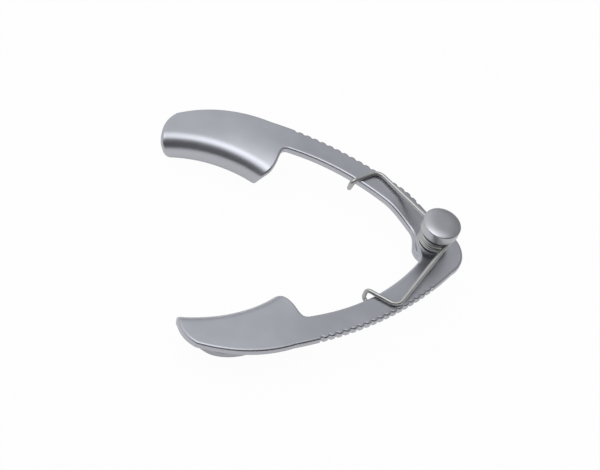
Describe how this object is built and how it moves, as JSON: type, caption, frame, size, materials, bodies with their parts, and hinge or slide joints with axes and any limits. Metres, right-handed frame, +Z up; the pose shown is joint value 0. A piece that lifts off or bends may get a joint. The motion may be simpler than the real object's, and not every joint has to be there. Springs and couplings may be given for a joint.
{
  "type": "eye speculum",
  "caption": "Sprung eye speculum: serrated sheet-steel arms with solid lid blades, lapped on a pivot under a torsion spring and a domed thumbscrew.",
  "frame": {"origin": "centre of the flat end of the screw and its stop ring, on the pivot axis, under the arms", "axes": "+Z up along the pivot axis, from the screw's end to its head; the blades point along -X; the lower arm lies on the +Y side and the upper arm on the -Y side"},
  "size_m": [0.0405, 0.041, 0.0109],
  "materials": {
    "satin_steel": "fine satin",
    "spring_wire": "drawn wire, slightly glossier than the sheet"
  },
  "bodies": {
    "lower_arm": {"lower_arm": "satin_steel", "spring_coil": "spring_wire", "lower_spring_leg": "spring_wire"},
    "upper_arm": {"upper_arm": "satin_steel", "spring_sleeve": "satin_steel", "upper_spring_leg": "spring_wire"},
    "thumb_screw": {"thumb_screw": "satin_steel", "stop_ring": "satin_steel"}
  },
  "joints": [
    {"name": "arm_pivot", "type": "hinge", "parent": "lower_arm", "child": "upper_arm", "pos_m": [0, 0, 0.00215], "axis": [0, 0, 1], "range_deg": [-41, 0], "stiffness_Nm_per_rad": 0.03, "deforming": ["spring_coil"]},
    {"name": "thumb_screw_turn", "type": "hinge", "parent": "lower_arm", "child": "thumb_screw", "pos_m": [0, 0, 0.0064], "axis": [0, 0, 1], "range_deg": [0, 180]}
  ]
}
